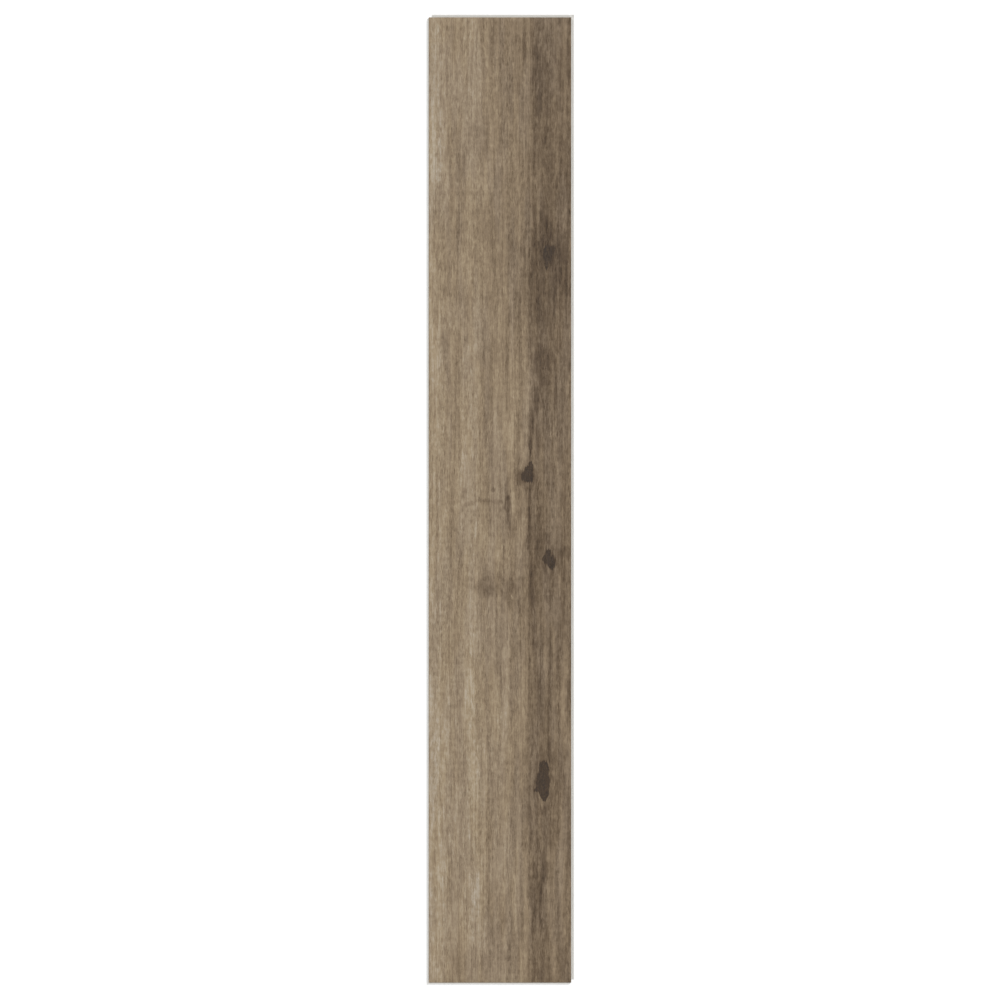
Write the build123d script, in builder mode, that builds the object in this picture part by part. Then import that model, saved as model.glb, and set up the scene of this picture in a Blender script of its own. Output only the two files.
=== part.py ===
from build123d import *

import os
from math import radians, sqrt, tan

# A rigid core vinyl floor plank, one solid piece, lying face up. The face is a bevelled
# rectangle, and all four edges are milled so that planks roll and snap together: the tongue
# is on the -X side and the -Y end, and the groove is on the +X side and the +Y end.
# Lengths are in millimetres. +X runs across the plank, +Y along it and +Z up. The origin is
# on the underside, below the middle of the face, so the next plank lies one face away.

# Face and body
face_width = 180.0
face_length = 1220.0
thickness = 5.0

# Small bevel round the face
bevel_run = 0.9
bevel_drop = 0.45

# Groove under the face
upper_lip = 1.75
groove_depth = 2.3
groove_radius = 0.25
mouth_chamfer = 0.25

# Lower lip, which reaches out under the next plank and ends in a lock
lower_lip = 1.1
lip_reach = 3.8
lip_shoulder_radius = 0.5
lip_toe_radius = 0.25
lock_foot = 2.0
lock_rise = 0.4
lock_angle = 55.0
lock_radius = 0.12

# Room that the tongue side leaves in the next plank's groove side
click_clearance = 0.05
nose_gap = 0.2
lock_headroom = 0.1
toe_gap = 0.2

# Roundings of the tongue side
root_radius = 0.15
nose_top_radius = 0.3
nose_bottom_radius = 0.4
recess_radius = 0.2
heel_chamfer = 0.3

# Raw board beyond each seam, which the milling takes off
blank_margin = 10.0

# Each point below is a distance from the seam, + towards the next plank's side, and a height.
# The seat is an arc about the seam line at the face, so that a plank can be rolled into it.
seat_radius = thickness - lower_lip
groove_roof = thickness - upper_lip
lock_slope = tan(radians(lock_angle))


def on_seat(radius, across):
    """The point of an arc about the seam line that lies this far from the seam."""
    return across, thickness - sqrt(radius**2 - across**2)


groove_mouth = (0, groove_roof + mouth_chamfer)
groove_corner = (-groove_depth, groove_roof)
groove_heel = on_seat(seat_radius, -groove_depth)
lock_start = on_seat(seat_radius, lock_foot)
crest_height = lock_start[1] + lock_rise
lock_crest = (lock_foot + lock_rise / lock_slope, crest_height)
lip_shoulder = (lip_reach, crest_height)
lip_toe = (lip_reach, 0)

# The tongue side fills the room that the groove side leaves, less the clearances.
tongue_seat_radius = seat_radius - click_clearance
tongue_root = (0, groove_roof - click_clearance)
tongue_reach = groove_depth - nose_gap
nose_top = (-tongue_reach, tongue_root[1])
nose_bottom = on_seat(tongue_seat_radius, -tongue_reach)
shoulder_start = on_seat(tongue_seat_radius, lock_foot)
recess_roof = crest_height + lock_headroom
recess_inner = (lock_foot + (recess_roof - shoulder_start[1]) / lock_slope, recess_roof)
recess_outer = (lip_reach + toe_gap, recess_roof)
heel_top = (lip_reach + toe_gap, heel_chamfer)
heel_toe = (lip_reach + toe_gap + heel_chamfer, 0)


def draw(seam, *points):
    """Draw straight runs through points that are given from the seam."""
    Polyline(*[(seam + across, height) for across, height in points])


def draw_seat(seam, radius, inner, outer):
    """Draw the seat's arc between two distances from the seam."""
    ends = [on_seat(radius, across) for across in (inner, (inner + outer) / 2, outer)]
    ThreePointArc(*[(seam + across, height) for across, height in ends])


def round_corners(sketch, seam, radius, *corners):
    """Round the outline's corners that lie nearest to these points."""
    found = [sketch.vertices().sort_by_distance((seam + across, height))[0] for across, height in corners]
    fillet(found, radius)


with BuildPart() as plank:
    # The long edges are milled first, and then the ends, across everything that stands out there.
    for plane, span, run, mode in (
        (Plane.XZ, face_width, face_length, Mode.ADD),
        (Plane.YZ, face_length, face_width, Mode.INTERSECT),
    ):
        tongue_seam = -span / 2
        groove_seam = span / 2
        with BuildSketch(plane) as section:
            with BuildLine():
                # Groove side, from the face down to the toe of the lip
                draw(
                    groove_seam,
                    (-bevel_run, thickness),
                    (0, thickness - bevel_drop),
                    groove_mouth,
                    (-mouth_chamfer, groove_roof),
                    groove_corner,
                    groove_heel,
                )
                draw_seat(groove_seam, seat_radius, -groove_depth, lock_foot)
                draw(groove_seam, lock_start, lock_crest, lip_shoulder, lip_toe)
                # Underside, from the lip to the recess for the next plank's lip
                Line((groove_seam + lip_toe[0], 0), (tongue_seam + heel_toe[0], 0))
                # Tongue side, from the recess up to the face
                draw(tongue_seam, heel_toe, heel_top, recess_outer, recess_inner, shoulder_start)
                draw_seat(tongue_seam, tongue_seat_radius, lock_foot, -tongue_reach)
                draw(
                    tongue_seam,
                    nose_bottom,
                    nose_top,
                    tongue_root,
                    (0, thickness - bevel_drop),
                    (bevel_run, thickness),
                )
                # Face
                Line((tongue_seam + bevel_run, thickness), (groove_seam - bevel_run, thickness))
            make_face()
            round_corners(section, groove_seam, groove_radius, groove_corner, groove_heel)
            round_corners(section, groove_seam, lock_radius, lock_start, lock_crest)
            round_corners(section, groove_seam, lip_shoulder_radius, lip_shoulder)
            round_corners(section, groove_seam, lip_toe_radius, lip_toe)
            round_corners(section, tongue_seam, lock_radius, shoulder_start, recess_inner)
            round_corners(section, tongue_seam, recess_radius, recess_outer)
            round_corners(section, tongue_seam, nose_bottom_radius, nose_bottom)
            round_corners(section, tongue_seam, nose_top_radius, nose_top)
            round_corners(section, tongue_seam, root_radius, tongue_root)
        extrude(amount=run / 2 + blank_margin, both=True, mode=mode)

    # Each lip stops short of the tongue that crosses its end.
    notch = recess_outer[0] + blank_margin
    with Locations((face_width / 2, recess_outer[0] - face_length / 2)):
        Box(notch, notch, recess_roof, align=(Align.MIN, Align.MAX, Align.MIN), mode=Mode.SUBTRACT)
    with Locations((recess_outer[0] - face_width / 2, face_length / 2)):
        Box(notch, notch, recess_roof, align=(Align.MAX, Align.MIN, Align.MIN), mode=Mode.SUBTRACT)

plank.part.label = "plank"
os.makedirs("parts", exist_ok=True)
export_step(plank.part, "parts/plank.step")
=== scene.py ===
from collections import namedtuple
from functools import reduce

import bmesh
import bpy
import numpy as np
from mathutils import Matrix, Vector


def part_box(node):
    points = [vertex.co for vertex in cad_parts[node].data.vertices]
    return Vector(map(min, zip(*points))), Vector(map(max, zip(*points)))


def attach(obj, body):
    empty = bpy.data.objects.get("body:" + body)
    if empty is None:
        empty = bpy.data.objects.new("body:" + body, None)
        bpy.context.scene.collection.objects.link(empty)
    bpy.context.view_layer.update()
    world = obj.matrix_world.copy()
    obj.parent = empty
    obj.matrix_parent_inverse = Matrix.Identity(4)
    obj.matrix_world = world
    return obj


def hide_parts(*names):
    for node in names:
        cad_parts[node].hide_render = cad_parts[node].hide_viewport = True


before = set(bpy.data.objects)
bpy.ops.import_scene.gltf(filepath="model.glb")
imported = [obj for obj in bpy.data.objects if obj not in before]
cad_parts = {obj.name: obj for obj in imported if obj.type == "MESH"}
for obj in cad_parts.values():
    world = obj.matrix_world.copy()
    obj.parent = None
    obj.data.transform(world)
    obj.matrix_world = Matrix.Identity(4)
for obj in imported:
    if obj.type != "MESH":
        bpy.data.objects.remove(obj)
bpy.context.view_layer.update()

bl_info = {
    "name": "Rigid core vinyl plank",
    "version": (1, 0, 0),
    "blender": (4, 5, 0),
    "location": "View3D > Sidebar > Vinyl plank",
    "description": "Oak print pressed in register on a click-milled mineral core, and its stage",
    "category": "Object",
}

MM = 0.001

# A corner this near to a level lies on it, and corners this near to each other are made one.
level_gap = 0.01 * MM
weld_gap = 0.001 * MM

# The plank as it is milled. Its face is the rectangle inside the bevel.
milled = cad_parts["plank"]
low_corner, high_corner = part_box("plank")
face_height = high_corner.z
near_face = face_height - level_gap
rim = [vertex.co for vertex in milled.data.vertices if vertex.co.z > near_face]
face_width = 2 * max(co.x for co in rim)
face_length = 2 * max(co.y for co in rim)

# How far the face drops over its bevel, and how far in from its rim the long edges are milled
bevel_drop = 0.45 * MM
milled_reach = 4 * MM

# The height of a face's normal: at least this on the bevel and on a level step of the edges, and at
# most this on the underside
printed_slope = 0.3
level_slope = 0.995
underside_slope = -0.9

# An edge that turns by less than this, in radians, is shaded smooth.
smooth_angle = 0.35

# The stage's white, and how far its floor lies below the underside
white = (1.0, 1.0, 1.0, 1.0)
floor_gap = 0.05 * MM

# The print is drawn in millimetres from the middle of the face, +x to the right and +y towards
# the grooved end. A tone is a lightness as the eye sees it, from 0, black, to 1, white.
print_width = 180
print_length = 1220

# Tone across the board, from the pale left side over the straw middle to the dark heartwood
TONE_ACROSS = (
    (0.0, 0.56), (0.06, 0.56), (0.12, 0.535), (0.18, 0.51), (0.27, 0.54), (0.34, 0.545), (0.39, 0.50),
    (0.52, 0.495), (0.61, 0.485), (0.685, 0.458), (0.712, 0.402), (0.83, 0.395), (1.0, 0.415),
)
# Tone along the board, from the tongued end to the grooved end, where 0.5 changes nothing
TONE_ALONG = (
    (0.0, 0.475), (0.10, 0.50), (0.22, 0.49), (0.27, 0.50), (0.38, 0.475), (0.50, 0.48), (0.66, 0.47),
    (0.75, 0.455), (0.92, 0.465), (1.0, 0.475),
)
# Where the heartwood begins along the board, from the tongued end to the grooved end. At 0.5, it
# begins where the tone across says, and a change of 1 would move it by the wander.
HEARTWOOD_EDGE = (
    (0.0, 0.62), (0.12, 0.50), (0.16, 0.38), (0.28, 0.45), (0.42, 0.47), (0.56, 0.48), (0.65, 0.76),
    (0.72, 0.44), (0.78, 0.60), (0.85, 0.66), (0.92, 0.55), (1.0, 0.50),
)
heartwood_wander = 24
# The wander sets in from the first of these places across the board to the second.
wander_reach = (-10, 30)

# Where the knots are, for the grain and the year rings round them
Oval = namedtuple("Oval", "x y half_width half_length")
KNOTS = (
    Oval(60, 311, 7, 13),
    Oval(35, 30, 8.5, 9),
    Oval(61, -75, 7.5, 7.5),
    Oval(54, -355, 9.8, 17.5),
)
# Small ovals that give the knots the rest of their outlines
LOBES = (
    Oval(59, 297, 2.5, 7),
    Oval(66, 316, 4, 6),
    Oval(36, 37, 6, 7),
    Oval(39, 40, 3.5, 10),
    Oval(65, -80, 5, 8),
    Oval(61, -67, 4, 5),
    Oval(55.5, -343, 7, 16),
    Oval(56, -370, 6, 12),
    Oval(47, -366, 4, 4),
)
# Marks that run with the grain: a dark one has a tone below 0 and a pale one above
Mark = namedtuple("Mark", "x y half_width half_length tone")
# Broad marks, which fade out in long fibres
STREAKS = (
    # In the heartwood
    Mark(66, 585, 22, 28, 0.03),
    Mark(64, 322, 13, 34, -0.015),
    Mark(48, 380, 11, 40, 0.03),
    Mark(66, 275, 26, 60, -0.02),
    Mark(80, 285, 13, 50, -0.045),
    Mark(54, 172, 11, 24, -0.03),
    Mark(63, 30, 13, 62, 0.05),
    Mark(74, -70, 12, 22, -0.025),
    Mark(70, -322, 18, 20, -0.035),
    Mark(62, -287, 10, 20, -0.015),
    Mark(86, -360, 6, 25, -0.035),
    Mark(87, -400, 3, 50, -0.03),
    Mark(47, -284, 9, 50, -0.035),
    Mark(47, -493, 9, 50, -0.035),
    Mark(74, -500, 14, 60, 0.02),
    Mark(86, -570, 7, 40, 0.035),
    # In the middle
    Mark(26, 572, 8, 34, -0.035),
    Mark(18, 265, 12, 30, 0.025),
    Mark(1, 185, 12, 24, -0.03),
    Mark(33, 152, 9, 42, 0.03),
    Mark(0, 85, 18, 25, 0.025),
    Mark(-10, -60, 14, 18, 0.03),
    Mark(-6, -310, 16, 60, 0.03),
    Mark(-4, -520, 14, 34, -0.045),
    Mark(8, -560, 20, 30, -0.03),
    Mark(8, 590, 18, 22, -0.035),
    Mark(25, 18, 8, 42, -0.035),
    # In the straw and at the left side
    Mark(-80, 560, 8, 50, 0.035),
    Mark(-82, 125, 7, 22, -0.04),
    Mark(-28, 455, 13, 50, -0.03),
    Mark(-38, -590, 24, 26, -0.045),
    Mark(-82, 455, 11, 60, 0.065),
    Mark(-56, 262, 18, 18, -0.025),
    Mark(-82, -290, 6, 20, -0.02),
    Mark(-43, 82, 10, 38, 0.025),
)
# Fine marks with clear outlines
FLECKS = (
    # The vein along the edge of the heartwood, from the grooved end to the tongued end
    Mark(49, 500, 4, 24, -0.05),
    Mark(58, 462, 3, 16, -0.05),
    Mark(67, 426, 2.5, 20, -0.05),
    Mark(71.5, 402, 2, 10, -0.05),
    Mark(52, 362, 3, 9, -0.06),
    Mark(58, 349, 3.5, 9, -0.05),
    Mark(64, 337, 4, 10, -0.05),
    Mark(46.5, 125, 3, 17, -0.08),
    Mark(41.5, 98, 2, 15, -0.09),
    Mark(38.5, 66, 1.8, 16, -0.13),
    Mark(27, 29, 8, 11, -0.08),
    Mark(37.5, 0, 2, 22, -0.08),
    Mark(37.5, -35, 2.5, 28, -0.09),
    Mark(40.5, -108, 2.8, 45, -0.09),
    Mark(39, -95, 2.5, 3.5, -0.07),
    Mark(43, -170, 3, 25, -0.05),
    Mark(52, -283, 2, 13, -0.04),
    Mark(61.5, -275, 2, 33, -0.05),
    Mark(62.5, -315, 2.5, 16, -0.08),
    Mark(52, -393, 8, 7, -0.05),
    Mark(40, -425, 2.5, 27, -0.04),
    Mark(57, -466, 3.5, 24, -0.05),
    Mark(51, -497, 2.5, 17, -0.05),
    Mark(42, -533, 2.5, 18, -0.07),
    Mark(55, -536, 4, 9, -0.04),
    # In the heartwood
    Mark(47, 566, 6, 12, -0.04),
    Mark(87, 537, 3, 8, -0.05),
    Mark(78, 430, 1.8, 6, -0.06),
    Mark(69, 315, 4, 9, -0.06),
    Mark(46, 318, 6, 10, -0.03),
    Mark(77.5, 290, 2, 7, -0.08),
    Mark(56, 178, 9, 13, -0.04),
    Mark(55, 166, 2.5, 2, -0.08),
    Mark(85, 150, 3, 19, 0.04),
    Mark(48, -57, 2.5, 9, -0.05),
    Mark(85.5, -65, 5, 10, -0.06),
    Mark(67, -105, 2, 11, -0.05),
    Mark(70, -540, 4.5, 70, 0.03),
    # In the middle
    Mark(2, 262, 1.5, 6, -0.08),
    Mark(19, 135, 3, 22, 0.03),
    Mark(-21, 27, 7, 4, -0.03),
    Mark(9.5, 14, 4, 16, -0.09),
    Mark(-9, 12.5, 4, 3, -0.08),
    Mark(-22, 0, 12, 3, -0.065),
    Mark(-4, -2, 8, 3, -0.045),
    Mark(21, -2, 6, 20, 0.03),
    Mark(10, -6, 4.5, 12, -0.15),
    Mark(10.5, -26, 4.5, 13, -0.12),
    Mark(17, -4, 2.5, 16, 0.04),
    Mark(-8, -108, 32, 16, -0.055),
    Mark(-18, -112, 15, 15, -0.035),
    Mark(13, -118, 8, 22, -0.04),
    Mark(16, -123, 1.8, 2.2, 0.12),
    Mark(24, -135, 2, 9, -0.05),
    # In the straw
    Mark(-39, 170, 3, 60, 0.03),
    Mark(-49, 33, 2, 20, 0.04),
    Mark(-38, -4, 4, 3, -0.06),
    Mark(-32, -30, 3, 24, 0.06),
    Mark(-36, -195, 3, 50, 0.03),
    Mark(-37, -242, 9, 30, 0.04),
    Mark(-28, -347, 2, 22, 0.04),
    Mark(-78, -315, 7, 46, 0.04),
    Mark(-29.5, -327, 1.5, 3.5, 0.08),
    Mark(-28, -497, 2.5, 30, 0.04),
)
# A mark is drawn this much wider and longer than it shows, because it fades towards its rim.
streak_spread = (1.35, 1.3)
fleck_spread = (1.2, 1.2)

# The share of the way out at which a mark, a knot and a soft spot begin to fade
mark_core = 0.5
knot_core = 0.8
soft_core = 0.2

# How far noise moves the rims of broad marks and of fine marks, across and along
feather_size = (6, 40)
tear_size = (6, 12)

# How far noise moves the bands of tone and the year rings across, and the ends of fibres along
band_sway = 9
ring_sway = 12
fray_length = 40

# How far the grain sways from side to side, and how it parts round a knot
sway_width = 14
parting_spread = (2.6, 3)
parting_share = 0.6

# How much the broad furrows of the grain count beside the fine ones
broad_share = 0.7

# How strongly each part of the print changes the tone
streak_tone = 0.15
bundle_tone = 0.045
shard_tone = 0.08
mottle_tone = 0.16
fibre_tone = 0.14
furrow_tone = -0.04
pore_tone = -0.07
bevel_tone = -0.05
tone_shift = 0.03

# Tone of the knots, of what is in them and of the shadow round them
knot_tone = 0.156
ring_tone = 0.35
knot_fibre_tone = 0.3
crack_tone = -0.12
shadow_tone = -0.06
shadow_spread = (2, 2.2)

# Gloss of the vinyl, how matt the print is, and what changes that in its pores, knots and fibres
vinyl_gloss = 0.3
print_roughness = 0.55
pore_roughness = 0.12
knot_polish = 0.06
fibre_roughness = 0.1

# How cloudy and how polished the core is, and how strongly its grains of filler show and stand out
cloudiness = 0.1
core_polish = 0.38
filler_share = 0.5
filler_height = 0.4

# How raggedly the print ends on the edges, and how far in from the ends the cutters' marks turn
print_ragged = 0.2
end_marks_reach = 6


def arithmetic(kind, swapped=False):
    """A method that adds a Math node of this kind."""

    def method(self, other=0.0):
        ends = (other, self) if swapped else (self, other)
        return self.tree.add("ShaderNodeMath", {"operation": kind}, dict(enumerate(ends)))

    return method


class Term:
    """A node's output. Arithmetic on it adds Math nodes."""

    def __init__(self, tree, socket):
        self.tree = tree
        self.socket = socket

    __add__ = __radd__ = arithmetic("ADD")
    __mul__ = __rmul__ = arithmetic("MULTIPLY")
    __sub__ = arithmetic("SUBTRACT")
    __rsub__ = arithmetic("SUBTRACT", swapped=True)
    __truediv__ = arithmetic("DIVIDE")
    __abs__ = arithmetic("ABSOLUTE")
    at_least = arithmetic("MAXIMUM")
    at_most = arithmetic("MINIMUM")


class Tree:
    """Writes a tree of shader nodes, or of geometry nodes, which share the nodes for maths and noise."""

    def __init__(self, node_tree):
        self.node_tree = node_tree
        node_tree.nodes.clear()

    def add(self, kind, settings=None, inputs=None, output=0):
        """Adds a node: its settings first, then the values or links of its sockets."""
        node = self.node_tree.nodes.new(kind)
        for name, value in (settings or {}).items():
            if name == "stops":
                self.set_stops(node.color_ramp, value)
            elif name == "points":
                self.set_points(node.mapping, value)
            else:
                setattr(node, name, value)
        for name, value in (inputs or {}).items():
            if isinstance(value, Term):
                self.node_tree.links.new(value.socket, node.inputs[name])
            else:
                node.inputs[name].default_value = value
        return Term(self, node.outputs[output]) if node.outputs else node

    def set_stops(self, ramp, stops):
        """Gives a colour ramp its stops, two of which it has."""
        for _ in stops[2:]:
            ramp.elements.new(1.0)
        for element, (position, colour) in zip(ramp.elements, stops):
            element.position = position
            element.color = (*colour, 1.0)

    def set_points(self, mapping, points):
        """Gives a curve its points, two of which it has."""
        curve = mapping.curves[0]
        for _ in points[2:]:
            curve.points.new(0.5, 0.5)
        for point, place in zip(curve.points, points):
            point.location = place
        mapping.update()

    def vector(self, x=0.0, y=0.0, z=0.0):
        """A vector from its three parts."""
        return self.add("ShaderNodeCombineXYZ", None, {0: x, 1: y, 2: z})

    def parts(self, vector):
        """The three parts of a vector."""
        node = self.add("ShaderNodeSeparateXYZ", None, {0: vector}).socket.node
        return [Term(self, socket) for socket in node.outputs]

    def scaled(self, vector, scale, shift=(0.0, 0.0, 0.0)):
        """A vector times a scale, plus a shift."""
        settings = {"operation": "MULTIPLY_ADD"}
        return self.add("ShaderNodeVectorMath", settings, {0: vector, 1: scale, 2: shift})

    def grain(self, place, across, along, seed, detail=2.0, roughness=0.5):
        """Noise about 0, whose grains are about this wide and this long in the place's own unit."""
        at = self.scaled(place, (1 / across, 1 / along, 1 / across), (0.0, 0.0, seed))
        inputs = {"Vector": at, "Scale": 1.0, "Detail": detail, "Roughness": roughness}
        return self.add("ShaderNodeTexNoise", None, inputs) - 0.5

    def bundles(self, place, across, along, seed):
        """Patches about this wide and this long in the place's own unit, each with a value about 0."""
        at = self.scaled(place, (1 / across, 1 / along, 0.0), (seed, seed, 0.0))
        settings = {"voronoi_dimensions": "2D"}
        patch = self.add("ShaderNodeTexVoronoi", settings, {"Vector": at, "Scale": 1.0}, "Color")
        return self.parts(patch)[0] - 0.5

    def step(self, value, start=0.0, end=1.0, low=0.0, high=1.0):
        """A smooth step, from low at the start to high at the end."""
        inputs = {"Value": value, "From Min": start, "From Max": end, "To Min": low, "To Max": high}
        return self.add("ShaderNodeMapRange", {"interpolation_type": "SMOOTHSTEP"}, inputs)

    def curve(self, share, points):
        """A smooth curve through these points, at a share from 0 to 1."""
        return self.add("ShaderNodeFloatCurve", {"points": points}, {"Value": share})

    def mix(self, share, first, second, blend="MIX"):
        """A mix of two colours."""
        settings = {"data_type": "RGBA", "blend_type": blend}
        return self.add("ShaderNodeMix", settings, {0: share, 6: first, 7: second}, 2)


def reach(tree, place, oval, spread=(1, 1)):
    """How far out of an oval the place is: 0 in its middle and 1 on its rim."""
    half_width = oval.half_width * spread[0]
    half_length = oval.half_length * spread[1]
    scale = (1 / half_width, 1 / half_length, 0.0)
    shift = (-oval.x / half_width, -oval.y / half_length, 0.0)
    offset = tree.scaled(place, scale, shift)
    return tree.add("ShaderNodeVectorMath", {"operation": "LENGTH"}, {0: offset}, "Value")


def nearest(tree, place, ovals):
    """How far out of the nearest of some ovals the place is."""
    return reduce(Term.at_most, [reach(tree, place, oval) for oval in ovals])


def spot(tree, place, oval, core, spread=(1, 1), peak=1.0):
    """The peak from the middle of an oval to this share of the way out, falling to 0 at its rim."""
    return tree.step(reach(tree, place, oval, spread), start=1.0, end=core, high=peak)


def flowing(tree, place):
    """The place in the grain's own frame, where grain that sways and parts round the knots is straight."""
    x, y, _ = tree.parts(place)
    moved = x + tree.grain(place, across=70, along=450, seed=3.1, detail=1.0) * sway_width
    for knot in KNOTS:
        parting = spot(tree, place, knot, core=0.0, spread=parting_spread, peak=parting_share)
        moved = moved - (x - knot.x) * parting
    return tree.vector(moved, y)


def furrows(tree, grain):
    """How deep the grain is pressed, from 0 on the ridges to 1 in the deepest furrows."""
    broad = tree.grain(grain, across=6, along=190, seed=11.0)
    fine = tree.grain(grain, across=1.8, along=55, seed=53.0, detail=1.0)
    return tree.step(fine + broad * broad_share, start=0.06, end=-0.14)


def oak(tree, place):
    """The printed oak at a place in millimetres: its tone, and how far it is in a knot and in a pore."""
    x, y, _ = tree.parts(place)
    grain = flowing(tree, place)

    # Fibres end at different lengths, so the rim of every broad mark is feathered along the grain.
    feather_x = x + tree.grain(grain, across=5, along=30, seed=5.3) * feather_size[0]
    feather_y = y + tree.grain(grain, across=2.2, along=160, seed=7.7, detail=3.0) * feather_size[1]
    feathered = tree.vector(feather_x, feather_y)

    # Broad tone, in which only the right half follows the heartwood's edge
    share_along = y / print_length + 0.5
    wander = (tree.curve(share_along, HEARTWOOD_EDGE) - 0.5) * heartwood_wander
    ragged = tree.grain(grain, across=9, along=220, seed=2.2, detail=3.0, roughness=0.6) * band_sway
    across = x - wander * tree.step(x, *wander_reach) + ragged
    tone = tree.curve(across / print_width + 0.5, TONE_ACROSS)
    tone = tone + tree.curve(share_along, TONE_ALONG) - 0.5
    for mark in STREAKS:
        tone = tone + spot(tree, feathered, mark, mark_core, streak_spread, mark.tone)

    # Streaks, bundles and shards of fibres with ragged ends, mottling and single fibres
    streaks = tree.grain(grain, across=5, along=200, seed=11.5, detail=3.0, roughness=0.6)
    fray = tree.grain(grain, across=1.1, along=200, seed=7.7, detail=3.0, roughness=0.7) * fray_length
    frayed = flowing(tree, tree.vector(x, y + fray))
    bundles = tree.bundles(frayed, across=5.5, along=60, seed=3.5)
    shards = tree.bundles(frayed, across=3.4, along=7, seed=8.5)
    mottle = tree.grain(grain, across=4.5, along=6, seed=23.0, detail=3.0, roughness=0.6)
    fibres = tree.grain(grain, across=1.1, along=16, seed=31.0, detail=4.0, roughness=0.8)
    tone = tone + streaks * streak_tone + bundles * bundle_tone + shards * shard_tone
    tone = tone + mottle * mottle_tone + fibres * fibre_tone + furrows(tree, grain) * furrow_tone

    # Fine marks are a little torn at the rim.
    torn_x = x + tree.grain(place, across=3, along=12, seed=41.0, detail=3.0) * tear_size[0]
    torn_y = y + tree.grain(place, across=1.8, along=12, seed=43.0, detail=3.0, roughness=0.6) * tear_size[1]
    torn = tree.vector(torn_x, torn_y)
    for mark in FLECKS:
        tone = tone + spot(tree, torn, mark, mark_core, fleck_spread, mark.tone)

    # So is a knot, which has year rings and cracks in it and a soft shadow round it.
    for knot in KNOTS:
        tone = tone + spot(tree, feathered, knot, soft_core, shadow_spread, shadow_tone)
    ringed = tree.vector(x + tree.grain(place, across=9, along=14, seed=47.0) * ring_sway, y)
    out_of_knot = tree.vector(nearest(tree, ringed, KNOTS))
    rings = tree.grain(out_of_knot, across=0.12, along=1, seed=83.0, roughness=0.6)
    cracked = tree.step(abs(tree.grain(torn, across=5, along=12, seed=19.0)), start=0.03, end=0.0)
    heart = rings * ring_tone + fibres * knot_fibre_tone + cracked * crack_tone + knot_tone
    in_knot = tree.step(nearest(tree, torn, KNOTS + LOBES), start=1.0, end=knot_core)
    tone = tone + (heart - tone) * in_knot

    # Pores are short dark dashes, which crowd along some of the streaks.
    dashes = tree.grain(grain, across=0.28, along=8, seed=97.0, detail=1.0)
    crowded = tree.step(streaks, start=-0.12, end=0.1, low=1.0, high=0.4)
    in_pore = tree.step(dashes, start=-0.06, end=-0.13) * crowded
    return tone + in_pore * pore_tone + tone_shift, in_knot, in_pore


class PrintSettings(bpy.types.PropertyGroup):
    """Colours of the oak print"""

    knot: bpy.props.FloatVectorProperty(
        name="Knot", description="Darkest print, in knots and cracks", subtype="COLOR", size=3,
        min=0, max=1, default=(0.053, 0.031, 0.015),
    )
    heartwood: bpy.props.FloatVectorProperty(
        name="Heartwood", description="Dark streaks and the grain round knots", subtype="COLOR", size=3,
        min=0, max=1, default=(0.122, 0.082, 0.048),
    )
    body: bpy.props.FloatVectorProperty(
        name="Body", description="Middle tone of the board", subtype="COLOR", size=3,
        min=0, max=1, default=(0.258, 0.191, 0.124),
    )
    straw: bpy.props.FloatVectorProperty(
        name="Straw", description="Pale earlywood", subtype="COLOR", size=3,
        min=0, max=1, default=(0.356, 0.275, 0.184),
    )
    bloom: bpy.props.FloatVectorProperty(
        name="Bloom", description="Palest, greyest streaks", subtype="COLOR", size=3,
        min=0, max=1, default=(0.491, 0.429, 0.345),
    )


class CoreSettings(bpy.types.PropertyGroup):
    """Colours of the mineral core"""

    limestone: bpy.props.FloatVectorProperty(
        name="Limestone", description="Stone-filled vinyl of the core", subtype="COLOR", size=3,
        min=0, max=1, default=(0.72, 0.705, 0.67),
    )
    fleck: bpy.props.FloatVectorProperty(
        name="Fleck", description="Grains of filler in the core", subtype="COLOR", size=3,
        min=0, max=1, default=(0.40, 0.385, 0.36),
    )


class EmbossSettings(bpy.types.PropertyGroup):
    """Relief pressed into the face"""

    depth: bpy.props.FloatProperty(
        name="Depth", description="Depth of the deepest grain", unit="LENGTH", min=0, default=0.00018,
    )
    fade: bpy.props.FloatProperty(
        name="Fade", description="Distance from the bevel over which the relief sets in", unit="LENGTH",
        min=0, default=0.0012,
    )
    columns: bpy.props.IntProperty(
        name="Columns", description="Steps of the relief across the face", min=2, default=400,
    )
    rows: bpy.props.IntProperty(
        name="Rows", description="Steps of the relief along the face", min=2, default=220,
    )


class StageSettings(bpy.types.PropertyGroup):
    """Floor, light and camera"""

    picture_length: bpy.props.FloatProperty(
        name="Picture length", description="Length of the face's plane that the picture shows",
        unit="LENGTH", default=1.2637,
    )
    lens: bpy.props.FloatProperty(
        name="Lens", description="Focal length, long so that the plank is seen square on", unit="CAMERA",
        default=150.0,
    )
    sky: bpy.props.FloatProperty(
        name="Sky", description="Light from all round, where 1 alone shows colours as written", default=0.55,
    )
    lamp: bpy.props.FloatProperty(name="Lamp", description="Strength of the soft lamp", default=1.6)
    lamp_angle: bpy.props.FloatProperty(
        name="Lamp angle", description="How wide the lamp looks from the plank", subtype="ANGLE", default=0.6,
    )
    lamp_side: bpy.props.FloatVectorProperty(
        name="Lamp side", description="Where the light comes from", subtype="XYZ", default=(0.35, 0.45, 1.0),
    )
    floor_width: bpy.props.FloatProperty(
        name="Floor width", description="Side of the square floor", unit="LENGTH", default=8.0,
    )
    floor_paint: bpy.props.FloatVectorProperty(
        name="Floor paint", description="Colour of the floor", subtype="COLOR", size=3, min=0, max=1,
        default=(0.6, 0.6, 0.6),
    )
    floor_glow: bpy.props.FloatProperty(
        name="Floor glow", description="What turns the floor's grey white where it is seen", default=0.5,
    )


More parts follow.
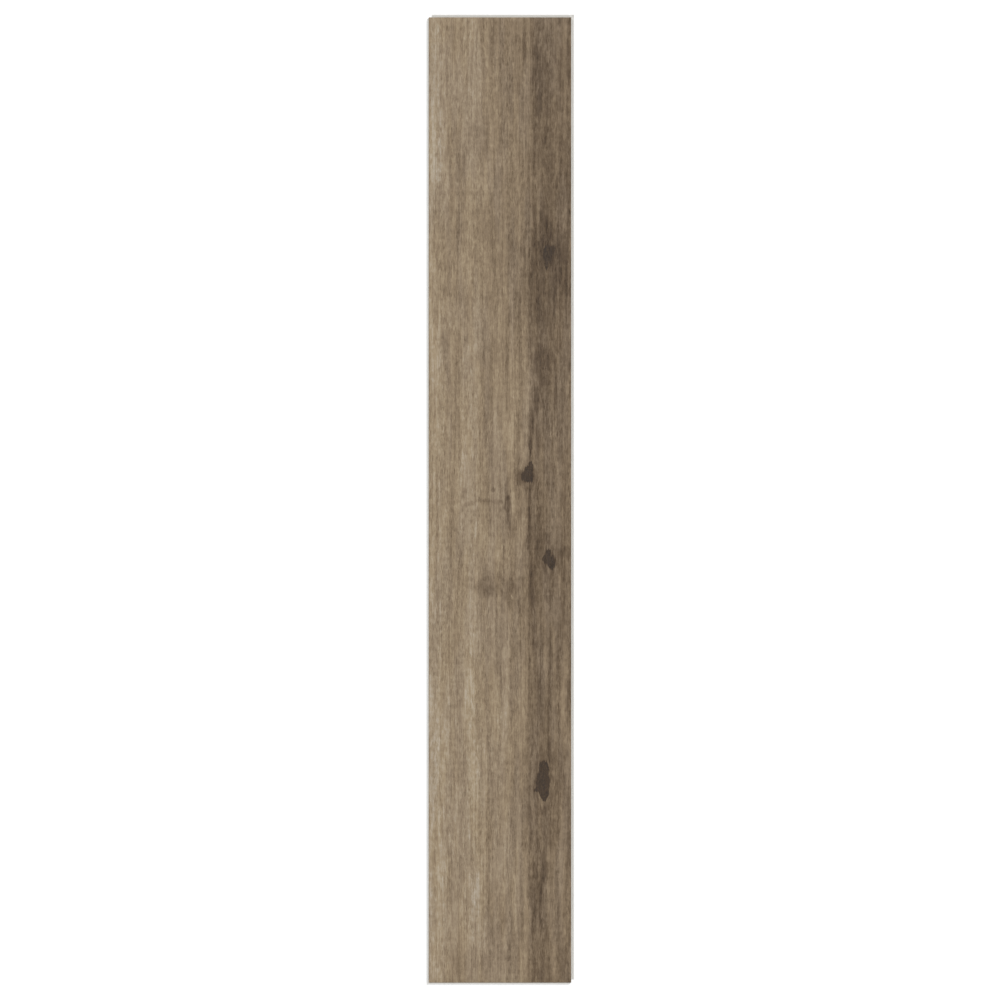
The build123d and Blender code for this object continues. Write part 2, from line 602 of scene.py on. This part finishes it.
def finish(name, sockets_of):
    """A material on a Principled shader, whose sockets a function builds from the place in millimetres."""
    material = bpy.data.materials.new(name)
    material.use_nodes = True
    tree = Tree(material.node_tree)
    metres = tree.add("ShaderNodeTexCoord", output="Object")
    place = tree.scaled(metres, (1 / MM, 1 / MM, 1 / MM))
    surface = tree.add("ShaderNodeBsdfPrincipled", None, sockets_of(tree, place))
    tree.add("ShaderNodeOutputMaterial", None, {"Surface": surface})
    return material


def below_face(tree, place):
    """How far below the face the place is, in millimetres."""
    return face_height / MM - tree.parts(place)[2]


def oak_print(colours):
    """Oak print under a matt wear layer, darker where it is rolled over the bevel."""
    crack_shade = 0.45
    deepest = Vector(colours.knot) * crack_shade
    # Each colour's place on the scale of tones
    stops = (
        (0.08, deepest), (0.22, colours.knot), (0.34, colours.heartwood),
        (0.48, colours.body), (0.565, colours.straw), (0.68, colours.bloom),
    )
    yellower = (1.015, 1.0, 0.95, 1.0)

    def sockets_of(tree, place):
        tone, in_knot, in_pore = oak(tree, place)
        on_bevel = tree.step(below_face(tree, place), start=0.15, end=0.30)
        colour = tree.add("ShaderNodeValToRGB", {"stops": stops}, {0: tone + on_bevel * bevel_tone})
        # Some of the grain is greyer and some yellower.
        cast = tree.step(tree.grain(place, across=14, along=120, seed=61.0), start=-0.12, end=0.12)
        colour = tree.mix(cast, colour, tree.mix(1.0, colour, yellower, "MULTIPLY"))
        fibres = tree.grain(place, across=0.35, along=5, seed=71.0)
        roughness = in_pore * pore_roughness - in_knot * knot_polish
        roughness = roughness + fibres * fibre_roughness + print_roughness
        bump = {"Strength": 0.8, "Distance": 0.2 * MM, "Height": fibres - in_pore}
        return {
            "Base Color": colour,
            "Roughness": roughness,
            "Specular IOR Level": vinyl_gloss,
            "Normal": tree.add("ShaderNodeBump", None, bump),
        }

    return finish("oak print", sockets_of)


def mineral_core(colours, edge_colour):
    """Stone-filled vinyl with the marks of the cutters. The print ends raggedly just below the bevel."""
    bevel_foot = bevel_drop / MM
    mark_width, mark_length = 0.5, 300
    end_starts = face_length / 2 / MM - end_marks_reach

    def sockets_of(tree, place):
        cloud = tree.grain(place, across=22, along=60, seed=3.0, detail=3.0) * cloudiness + 1.0
        # Grains of filler show as fine flecks of uneven size.
        grains = tree.grain(place, across=0.45, along=0.45, seed=29.0, detail=3.0, roughness=0.7)
        fleck = tree.step(grains, start=0.10, end=0.20)
        colour = tree.mix(fleck * filler_share, (*colours.limestone, 1.0), (*colours.fleck, 1.0))
        colour = tree.mix(1.0, colour, tree.vector(cloud, cloud, cloud), "MULTIPLY")
        ragged = tree.grain(place, across=3, along=3, seed=17.0) * print_ragged
        under_bevel = below_face(tree, place) - ragged - bevel_foot
        colour = tree.mix(tree.step(under_bevel, start=0.13, end=0.05), colour, (*edge_colour, 1.0))
        # The cutters run along the edges, and so do their marks.
        _, y, _ = tree.parts(place)
        at_end = tree.step(abs(y), start=end_starts, end=end_starts + 1)
        side_marks = tree.scaled(place, (1 / mark_width, 1 / mark_length, 1 / mark_width))
        side_marks = tree.add("ShaderNodeTexNoise", None, {"Vector": side_marks, "Scale": 1.0})
        end_marks = tree.scaled(place, (1 / mark_length, 1 / mark_width, 1 / mark_width))
        end_marks = tree.add("ShaderNodeTexNoise", None, {"Vector": end_marks, "Scale": 1.0})
        cut = side_marks * (1 - at_end) + end_marks * at_end
        bump = {"Strength": 0.5, "Distance": 0.05 * MM, "Height": cut + fleck * filler_height}
        return {
            "Base Color": colour,
            "Roughness": cloud - core_polish,
            "Specular IOR Level": vinyl_gloss,
            "Normal": tree.add("ShaderNodeBump", None, bump),
        }

    return finish("mineral core", sockets_of)


def pressed_face():
    """Geometry Nodes that lay a fine grid over the face and press the grain into it."""
    group = bpy.data.node_groups.new("pressed face", "GeometryNodeTree")
    group.interface.new_socket("Geometry", in_out="OUTPUT", socket_type="NodeSocketGeometry")
    kinds = {
        "Width": "Float", "Length": "Float", "Height": "Float", "Depth": "Float", "Fade": "Float",
        "Columns": "Int", "Rows": "Int", "Material": "Material",
    }
    for name, kind in kinds.items():
        group.interface.new_socket(name, in_out="INPUT", socket_type="NodeSocket" + kind)
    tree = Tree(group)
    inputs = tree.add("NodeGroupInput").socket.node.outputs
    given = {name: Term(tree, inputs[name]) for name in kinds}
    sheet = tree.add("GeometryNodeMeshGrid", None, {
        "Size X": given["Width"], "Vertices X": given["Columns"] + 1,
        "Size Y": given["Length"], "Vertices Y": given["Rows"] + 1,
    })
    metres = tree.add("GeometryNodeInputPosition")
    x, y, _ = tree.parts(metres)
    inward = (given["Width"] / 2 - abs(x)).at_most(given["Length"] / 2 - abs(y))
    place = tree.scaled(metres, (1 / MM, 1 / MM, 0.0))
    depth = furrows(tree, flowing(tree, place))
    # A knot is pressed in as deep as a furrow.
    for knot in KNOTS:
        depth = depth.at_least(spot(tree, place, knot, soft_core))
    fall = depth * tree.step(inward, end=given["Fade"]) * given["Depth"]
    offset = tree.vector(0.0, 0.0, given["Height"] - fall)
    pressed = tree.add("GeometryNodeSetPosition", None, {"Geometry": sheet, "Offset": offset})
    real = tree.add("GeometryNodeRealizeInstances", None, {0: pressed})
    covered = tree.add("GeometryNodeSetMaterial", None, {"Geometry": real, "Material": given["Material"]})
    tree.add("NodeGroupOutput", None, {0: covered})
    return group


def mesh_from(group, values):
    """A plain mesh of what a Geometry Nodes group makes with these inputs."""
    maker = bpy.data.objects.new(group.name, bpy.data.meshes.new(group.name))
    bpy.context.scene.collection.objects.link(maker)
    modifier = maker.modifiers.new(group.name, "NODES")
    modifier.node_group = group
    for item in group.interface.items_tree:
        if item.in_out == "INPUT":
            modifier[item.identifier] = values[item.name]
    made = maker.evaluated_get(bpy.context.evaluated_depsgraph_get())
    mesh = bpy.data.meshes.new_from_object(made)
    bpy.data.objects.remove(maker)
    return mesh


def outline_points(bm, along):
    """The closed outline that the plane through the middle of the plank cuts, as points in order."""

    def crosses(edge):
        start, end = edge.verts
        return (start.co[along] < 0) != (end.co[along] < 0)

    first = next(edge for edge in bm.edges if crosses(edge))
    edge, face, points = first, first.link_faces[0], []
    while not points or edge is not first:
        start, end = (vertex.co for vertex in edge.verts)
        points.append(start.lerp(end, start[along] / (start[along] - end[along])))
        edge = next(other for other in face.edges if other is not edge and crosses(other))
        face = next(other for other in edge.link_faces if other is not face)
    return points


class Profile:
    """A milled edge's outline, from the face's rim down to the underside, unrolled for the UV map."""

    def __init__(self, bm, across, side):
        points = np.array([(point[across], point.z) for point in outline_points(bm, 1 - across)])
        points[:, 0] *= side
        # The outline starts at the face's rim, runs away from the face and ends at the underside.
        rim_reach = np.where(points[:, 1] > near_face, points[:, 0], -np.inf)
        points = np.roll(points, -int(np.argmax(rim_reach)), axis=0)
        if points[1, 1] > near_face:
            points = np.roll(points[::-1], 1, axis=0)
        foot = int(np.argmax(points[:, 1] < level_gap)) + 1
        self.across = across
        self.side = side
        self.starts = points[:foot - 1]
        self.runs = points[1:foot] - self.starts
        self.steps = np.linalg.norm(self.runs, axis=1)
        self.before = np.cumsum(self.steps) - self.steps

    def share(self, co):
        """How far along the outline the nearest point to this corner is, from 0 to 1."""
        offset = np.array((co[self.across] * self.side, co.z)) - self.starts
        along = np.clip((offset * self.runs).sum(1) / self.steps**2, 0, 1)
        gaps = np.linalg.norm(offset - self.runs * along[:, None], axis=1)
        closest = int(np.argmin(gaps))
        return (self.before[closest] + along[closest] * self.steps[closest]) / self.steps.sum()


# Columns of the UV map, each as wide as its surface's share of the detail. An edge is named by the
# axis that points out of it, 0 for x and 1 for y, and by its side of the plank.
FACE_COLUMN = (0.0, 0.74)
UNDERSIDE_COLUMN = (0.75, 0.86)
EDGE_COLUMNS = {
    (0, 1): (0.87, 0.90), (0, -1): (0.91, 0.935), (1, 1): (0.945, 0.97), (1, -1): (0.98, 1.0),
}


def is_printed(face):
    """Whether a face of the mesh lies on the plank's face or bevel."""
    return face.normal.z > printed_slope and face.calc_center_median().z > face_height - bevel_drop


def is_level(face):
    """Whether a face of the mesh is level, as the roof of the groove is."""
    return abs(face.normal.z) > level_slope


def lay_out(bm, profiles):
    """The UV map for baked pictures: each surface fills a column, at full height."""
    uv = bm.loops.layers.uv.new("OFBake")
    size = high_corner - low_corner

    def column(bounds, share):
        return bounds[0] + (bounds[1] - bounds[0]) * share

    for face in bm.faces:
        normal = face.normal
        middle = face.calc_center_median()
        on_long_edge = is_level(face) and abs(middle.x) > face_width / 2 - milled_reach
        flat_bounds = None
        if is_printed(face):
            flat_bounds = FACE_COLUMN
        elif normal.z < underside_slope and middle.z < level_gap:
            flat_bounds = UNDERSIDE_COLUMN
        elif on_long_edge or abs(normal.x) > abs(normal.y):
            axis = 0
        else:
            axis = 1
        for loop in face.loops:
            offset = loop.vert.co - low_corner
            share = (offset.x / size.x, offset.y / size.y)
            if flat_bounds:
                loop[uv].uv = (column(flat_bounds, share[0]), share[1])
            else:
                side = 1 if middle[axis] > 0 else -1
                down = profiles[axis, side].share(loop.vert.co)
                loop[uv].uv = (column(EDGE_COLUMNS[axis, side], down), share[1 - axis])


class PLANK_OT_build(bpy.types.Operator):
    """Press the grain into the face of the milled plank and finish its face, edges and underside"""

    bl_idname = "vinyl_plank.build_plank"
    bl_label = "Build the plank"

    def execute(self, context):
        scene = context.scene
        emboss = scene.plank_emboss
        oak_material = oak_print(scene.plank_print)
        core_material = mineral_core(scene.plank_core, scene.plank_print.heartwood)
        sheet = mesh_from(pressed_face(), {
            "Width": face_width, "Length": face_length, "Height": face_height, "Depth": emboss.depth,
            "Fade": emboss.fade, "Columns": emboss.columns, "Rows": emboss.rows, "Material": oak_material,
        })

        bm = bmesh.new()
        bm.from_mesh(milled.data)
        bmesh.ops.remove_doubles(bm, verts=bm.verts, dist=weld_gap)
        profiles = {(axis, side): Profile(bm, axis, side) for axis, side in EDGE_COLUMNS}
        lid = [face for face in bm.faces if all(vertex.co.z > near_face for vertex in face.verts)]
        bmesh.ops.delete(bm, geom=lid, context="FACES")
        for edge in bm.edges:
            edge.smooth = not edge.is_boundary and edge.calc_face_angle() < smooth_angle
        # The rim is cut into the sheet's steps, so that the sheet closes the mesh when it is welded on.
        for edge in [edge for edge in bm.edges if edge.is_boundary]:
            start, end = (vertex.co for vertex in edge.verts)
            across = abs(start.x - end.x) > abs(start.y - end.y)
            cuts = (emboss.columns if across else emboss.rows) - 1
            bmesh.ops.subdivide_edges(bm, edges=[edge], cuts=cuts)
        bm.from_mesh(sheet)
        bmesh.ops.remove_doubles(bm, verts=bm.verts, dist=weld_gap)
        for face in bm.faces:
            face.smooth = True
            face.material_index = 0 if is_printed(face) else 1
        lay_out(bm, profiles)

        mesh = bpy.data.meshes.new("embossed_plank")
        bm.to_mesh(mesh)
        bm.free()
        mesh.materials.append(oak_material)
        mesh.materials.append(core_material)
        plank = bpy.data.objects.new("embossed_plank", mesh)
        scene.collection.objects.link(plank)
        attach(plank, "root")
        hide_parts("plank")
        return {"FINISHED"}


def is_seen(tree):
    """1 where the camera, a gloss or a clear material shows a surface, and 0 for the light that it gives."""
    path = tree.add("ShaderNodeLightPath").socket.node.outputs
    rays = [Term(tree, path[name]) for name in ("Is Camera Ray", "Is Glossy Ray", "Is Transmission Ray")]
    return reduce(Term.at_least, rays)


def pale_floor(stage):
    """A matt grey floor that keeps the plank's shadow and is white where it is seen."""
    material = bpy.data.materials.new("pale floor")
    material.use_nodes = True
    tree = Tree(material.node_tree)
    paint = tree.add("ShaderNodeBsdfDiffuse", None, {"Color": (*stage.floor_paint, 1.0)})
    strength = is_seen(tree) * stage.floor_glow
    glow = tree.add("ShaderNodeEmission", None, {"Color": white, "Strength": strength})
    both = tree.add("ShaderNodeAddShader", None, {0: paint, 1: glow})
    tree.add("ShaderNodeOutputMaterial", None, {"Surface": both})
    return material


def studio(stage):
    """Plain light from all round, and a background that is white where it is seen."""
    world = bpy.data.worlds.new("studio")
    world.use_nodes = True
    tree = Tree(world.node_tree)
    strength = is_seen(tree) * (1 - stage.sky) + stage.sky
    sky = tree.add("ShaderNodeBackground", None, {"Color": white, "Strength": strength})
    tree.add("ShaderNodeOutputWorld", None, {"Surface": sky})
    return world


class PLANK_OT_stage(bpy.types.Operator):
    """Lay out the floor, the light and the camera above the plank"""

    bl_idname = "vinyl_plank.build_stage"
    bl_label = "Build the stage"

    def execute(self, context):
        scene = context.scene
        stage = scene.plank_stage
        scene.view_settings.view_transform = "Standard"

        scene.world = studio(stage)

        mesh = bpy.data.meshes.new("floor")
        bm = bmesh.new()
        just_below = Matrix.Translation((0.0, 0.0, -floor_gap))
        bmesh.ops.create_grid(bm, x_segments=1, y_segments=1, size=stage.floor_width / 2, matrix=just_below)
        bm.to_mesh(mesh)
        bm.free()
        mesh.materials.append(pale_floor(stage))
        floor = bpy.data.objects.new("floor", mesh)
        scene.collection.objects.link(floor)

        lamp = bpy.data.objects.new("soft lamp", bpy.data.lights.new("soft lamp", "SUN"))
        lamp.data.energy = stage.lamp
        lamp.data.angle = stage.lamp_angle
        lamp.rotation_euler = stage.lamp_side.to_track_quat("Z", "Y").to_euler()
        scene.collection.objects.link(lamp)

        camera = bpy.data.objects.new("camera", bpy.data.cameras.new("camera"))
        camera.data.lens = stage.lens
        distance = stage.picture_length * stage.lens / camera.data.sensor_width
        camera.data.clip_end = distance + stage.floor_width
        camera.location = (0.0, 0.0, face_height + distance)
        scene.collection.objects.link(camera)
        scene.camera = camera
        return {"FINISHED"}


class PLANK_PT_sidebar(bpy.types.Panel):
    """The plank's operators and settings"""

    bl_idname = "PLANK_PT_sidebar"
    bl_label = "Rigid core vinyl plank"
    bl_space_type = "VIEW_3D"
    bl_region_type = "UI"
    bl_category = "Vinyl plank"

    def draw(self, context):
        scene = context.scene
        for operator in (PLANK_OT_build, PLANK_OT_stage):
            self.layout.operator(operator.bl_idname)
        for name in setting_groups:
            box = self.layout.box()
            group = getattr(scene, name)
            for prop in group.bl_rna.properties:
                if prop.identifier in group.__annotations__:
                    box.prop(group, prop.identifier)


setting_groups = {
    "plank_print": PrintSettings,
    "plank_core": CoreSettings,
    "plank_emboss": EmbossSettings,
    "plank_stage": StageSettings,
}
classes = (*setting_groups.values(), PLANK_OT_build, PLANK_OT_stage, PLANK_PT_sidebar)


def register():
    for cls in classes:
        bpy.utils.register_class(cls)
    for name, cls in setting_groups.items():
        setattr(bpy.types.Scene, name, bpy.props.PointerProperty(type=cls))


def unregister():
    for name in setting_groups:
        delattr(bpy.types.Scene, name)
    for cls in reversed(classes):
        bpy.utils.unregister_class(cls)


def main():
    register()
    bpy.ops.vinyl_plank.build_plank()
    bpy.ops.vinyl_plank.build_stage()


if __name__ == "__main__":
    main()
